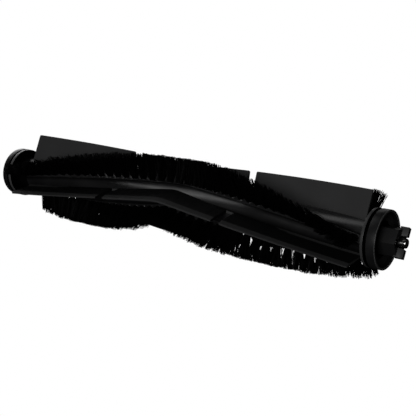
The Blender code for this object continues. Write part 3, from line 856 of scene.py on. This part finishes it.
def claw_mesh(angle):
    """A claw with a slanted lead-in on its leading side."""
    shape = bmesh.new()
    turned = facing(0, angle)
    root = HEX_END - JOIN_DEPTH
    half = CLAW_HALF_WIDTH
    profile = [(root, -half), (root, half), (CLAW_SHOULDER, half), (CLAW_END, half - CLAW_LEAD_IN),
               (CLAW_END, -half)]
    sides = [[turned @ Vector((x, width, radius)) for x, width in profile]
             for radius in (CLAW_INNER, CLAW_OUTER)]
    loft_into(shape, sides)
    return mesh_of("claw", shape)


def add_drive_dog():
    """Hexagonal boss on its foot, with two claws, a slot across its end and a bore for the shaft."""
    foot_start = DRIVE_RECESS_FLOOR - 0.2 * MM
    body = hex_bar(HEX_RADIUS, HEX_START, HEX_END)
    body = carve(body, [hex_bar(HEX_FOOT_RADIUS, foot_start, HEX_START + JOIN_DEPTH)], "UNION")
    body = carve(body, [claw_mesh(angle) for angle in CLAW_ANGLES], "UNION")
    past_end = 0.2 * MM
    slot_length = END_SLOT_DEPTH + past_end
    slot = box_mesh(facing(0, HEX_TURN), (HEX_END + past_end - slot_length / 2, 0, 0),
                    (slot_length, END_SLOT_WIDTH, 2 * END_SLOT_REACH))
    bore_end = 108 * MM
    bore = lathe_mesh("bore", [(0, HEX_POCKET_FLOOR), (SHAFT_BORE_RADIUS, HEX_POCKET_FLOOR),
                               (SHAFT_BORE_RADIUS, bore_end), (0, bore_end)], 48, False)
    body = round_edges(carve(body, [slot, bore]), EDGE_ROUNDING)
    # The claws get a painted highlight
    set_tones(body, lambda place: CLAW_HIGHLIGHT_TONE if place.x > HEX_END + 0.05 * MM else 0.0)
    add_piece("drive_dog", body, dog_plastic, "roller", sharp=40)


def add_shaft():
    """Steel shaft with a slightly thinner tip and a low cone at its idle end."""
    tip_root = 101.9 * MM
    outline = [(0, ROLLER_END), (SHAFT_TIP_RADIUS, ROLLER_END), (SHAFT_TIP_RADIUS, tip_root),
               (SHAFT_RADIUS, tip_root - 0.2 * MM), (SHAFT_RADIUS, SHAFT_IDLE_END + 0.1 * MM),
               (0, SHAFT_IDLE_END)]
    mesh = lathe_mesh("shaft", round_corners(corners_of(outline, 0.4 * MM), 4), 64, False)
    add_piece("shaft", mesh, shaft_steel, "roller", sharp=30)


# ---------------------------------------------------------------- idle end

def idle_cap_tone(place):
    """Painted shade in the groove and on the flange's inner side, painted highlight on the thin flange's
    edge.
    """
    margin = 0.25 * MM
    on_inner_side = from_axis(place) < RING_RADIUS - margin and place.x > IDLE_FLANGE - margin
    if in_groove(place, IDLE_GROOVE) or on_inner_side:
        return PAINTED_SHADE_TONE
    on_thin_edge = on_outside(place) and place.x > IDLE_GROOVE[1] + 0.1 * MM
    return IDLE_EDGE_HIGHLIGHT_TONE if on_thin_edge else 0.0


def add_idle_end():
    outline = [(RING_RADIUS, IDLE_FLANGE), (RING_RADIUS, IDLE_GROOVE[1]),
               (GROOVE_RADIUS, IDLE_GROOVE[1]), (GROOVE_RADIUS, IDLE_GROOVE[0]),
               (RING_RADIUS, IDLE_GROOVE[0]), (RING_RADIUS, IDLE_RING_END),
               (RING_BORE, IDLE_RING_END), (RING_BORE, IDLE_WEB), (IDLE_RECESS_RADIUS, IDLE_WEB),
               (IDLE_RECESS_RADIUS, IDLE_RECESS_FLOOR), (SHAFT_BORE_RADIUS, IDLE_RECESS_FLOOR),
               (SHAFT_BORE_RADIUS, IDLE_HUB), (CORE_RADIUS, IDLE_HUB), (CORE_RADIUS, IDLE_FLANGE)]
    mesh = lathe_mesh("idle_end_cap", round_corners(corners_of(outline, EDGE_ROUNDING)))
    set_tones(mesh, idle_cap_tone)
    add_piece("idle_end_cap", mesh, cap_plastic, "roller")


def add_bearing_cap():
    """Sleeve, skirt and stub, turned in one piece, with two flats cut on the stub."""
    outer = [(CAP_SLEEVE_RADIUS, BEARING_INNER_FACE), (CAP_SLEEVE_RADIUS, CAP_SKIRT[0]),
             (CAP_SKIRT_RADIUS, CAP_SKIRT[0]), (CAP_SKIRT_RADIUS, CAP_SKIRT[1]),
             (CAP_STUB_RADIUS, CAP_SKIRT[1])]
    seat = [(0, -ROLLER_END), (0, CAP_RELIEF_FLOOR), (CAP_RELIEF_RADIUS, CAP_RELIEF_FLOOR),
            (CAP_RELIEF_RADIUS, BEARING_SEAT), (CAP_BORE_RADIUS, BEARING_SEAT)]
    corners = corners_of([(CAP_BORE_RADIUS, BEARING_INNER_FACE)], 0) + corners_of(outer, 0.15 * MM)
    corners += corners_of([(CAP_STUB_RADIUS, -ROLLER_END)], 0.4 * MM) + corners_of(seat, 0)
    body = lathe_mesh("bearing_cap", round_corners(corners), 96)
    cut = Vector((2.8 * MM, 24 * MM, 8 * MM))
    flats = [box_mesh(facing(CAP_SKIRT[1] - cut.x / 2, way * pi / 2), (0, 0, CAP_FLAT + cut.z / 2), cut)
             for way in (1, -1)]
    body = carve(body, flats)
    add_piece("bearing_cap", body, cap_plastic, "bearing_housing", sharp=30)


# ---------------------------------------------------------------- CAD pieces that stay

def dress_cad():
    """Gives the bearing, the seal and the washer, which stay as they are, their materials."""
    looks = {"bearing_outer_race": race_steel, "bearing_inner_race": race_steel, "bearing_cage": shield_steel,
             "bearing_shield_1": shield_steel, "bearing_shield_2": shield_steel, "felt_seal": seal_felt,
             "thrust_washer": washer_nylon}
    looks.update({f"bearing_ball_{i}": ball_steel for i in range(1, 8)})
    for name, material in looks.items():
        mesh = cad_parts[name].data
        mesh.materials.clear()
        mesh.materials.append(material)


# ---------------------------------------------------------------- stage

def show_only_to_camera(tree, seen, unseen, out):
    """Sends one shader to the camera's rays and another to all others."""
    path = tree.nodes.new("ShaderNodeLightPath")
    mix = tree.nodes.new("ShaderNodeMixShader")
    tree.links.new(path.outputs["Is Camera Ray"], mix.inputs["Fac"])
    tree.links.new(unseen, mix.inputs[1])
    tree.links.new(seen, mix.inputs[2])
    tree.links.new(mix.outputs["Shader"], out.inputs["Surface"])


def add_floor():
    """Floor that the camera sees as plain white, and that throws little light back."""
    shape = bmesh.new()
    bmesh.ops.create_grid(shape, x_segments=1, y_segments=1, size=FLOOR_HALF_SIZE,
                          matrix=Matrix.Translation((0, 0, cad_box[0].z - FLOOR_GAP)))
    mesh = mesh_of("floor", shape)
    material = bpy.data.materials.new("floor")
    material.use_nodes = True
    tree = material.node_tree
    tree.nodes.clear()
    white = tree.nodes.new("ShaderNodeEmission")
    white.inputs["Color"].default_value = (1, 1, 1, 1)
    dim = tree.nodes.new("ShaderNodeBsdfDiffuse")
    dim.inputs["Color"].default_value = (FLOOR_TONE, FLOOR_TONE, FLOOR_TONE, 1)
    show_only_to_camera(tree, white.outputs["Emission"], dim.outputs["BSDF"],
                        tree.nodes.new("ShaderNodeOutputMaterial"))
    mesh.materials.append(material)
    add_object("floor", mesh)


def add_world():
    """White background for the camera, and a faint even light for the rest."""
    world = bpy.data.worlds.new("studio")
    bpy.context.scene.world = world
    world.use_nodes = True
    tree = world.node_tree
    tree.nodes.clear()
    grounds = []
    for strength in (1.0, WORLD_STRENGTH):
        light = tree.nodes.new("ShaderNodeBackground")
        light.inputs["Color"].default_value = (1, 1, 1, 1)
        light.inputs["Strength"].default_value = strength
        grounds.append(light.outputs["Background"])
    show_only_to_camera(tree, *grounds, tree.nodes.new("ShaderNodeOutputWorld"))


def direction(azimuth, elevation):
    """Unit vector towards this azimuth and elevation, with azimuth 0 at the front and 90 at the drive end."""
    return Vector((sin(azimuth) * cos(elevation), -cos(azimuth) * cos(elevation), sin(elevation)))


def add_light(name, azimuth, elevation, size, power):
    """Square softbox that faces the middle of the roller."""
    place = direction(radians(azimuth), radians(elevation)) * LAMP_DISTANCE
    lamp = bpy.data.lights.new(name, "AREA")
    lamp.shape = "SQUARE"
    lamp.size = size
    lamp.energy = power
    thing = add_object(name, lamp)
    thing.location = place
    thing.rotation_mode = "QUATERNION"
    thing.rotation_quaternion = (-place).to_track_quat("-Z", "Y")
    thing.visible_camera = False


def add_camera():
    back = direction(CAMERA_YAW, CAMERA_ELEVATION)
    right = Vector((0, 0, 1)).cross(back).normalized()
    up = back.cross(right)
    lens = bpy.data.cameras.new("camera")
    lens.sensor_width = SENSOR_WIDTH
    lens.lens = FOCAL_LENGTH
    lens.clip_start = 0.01
    lens.clip_end = 50
    camera = add_object("camera", lens)
    turned = Matrix((right, up, back)).transposed().to_4x4()
    turned.translation = Vector((CAMERA_AIM, 0, 0)) - up * CAMERA_DROP + back * CAMERA_DISTANCE
    camera.matrix_world = turned
    bpy.context.scene.camera = camera


add_core()
for row in range(ROWS):
    add_blade(row)
    add_strip(row)
    add_bristles(row)
add_drive_end()
add_drive_dog()
add_shaft()
add_idle_end()
add_bearing_cap()
dress_cad()
add_floor()
add_world()
for name, setting in LAMPS.items():
    add_light(name, *setting)
add_camera()
bpy.context.scene.view_settings.view_transform = "Standard"
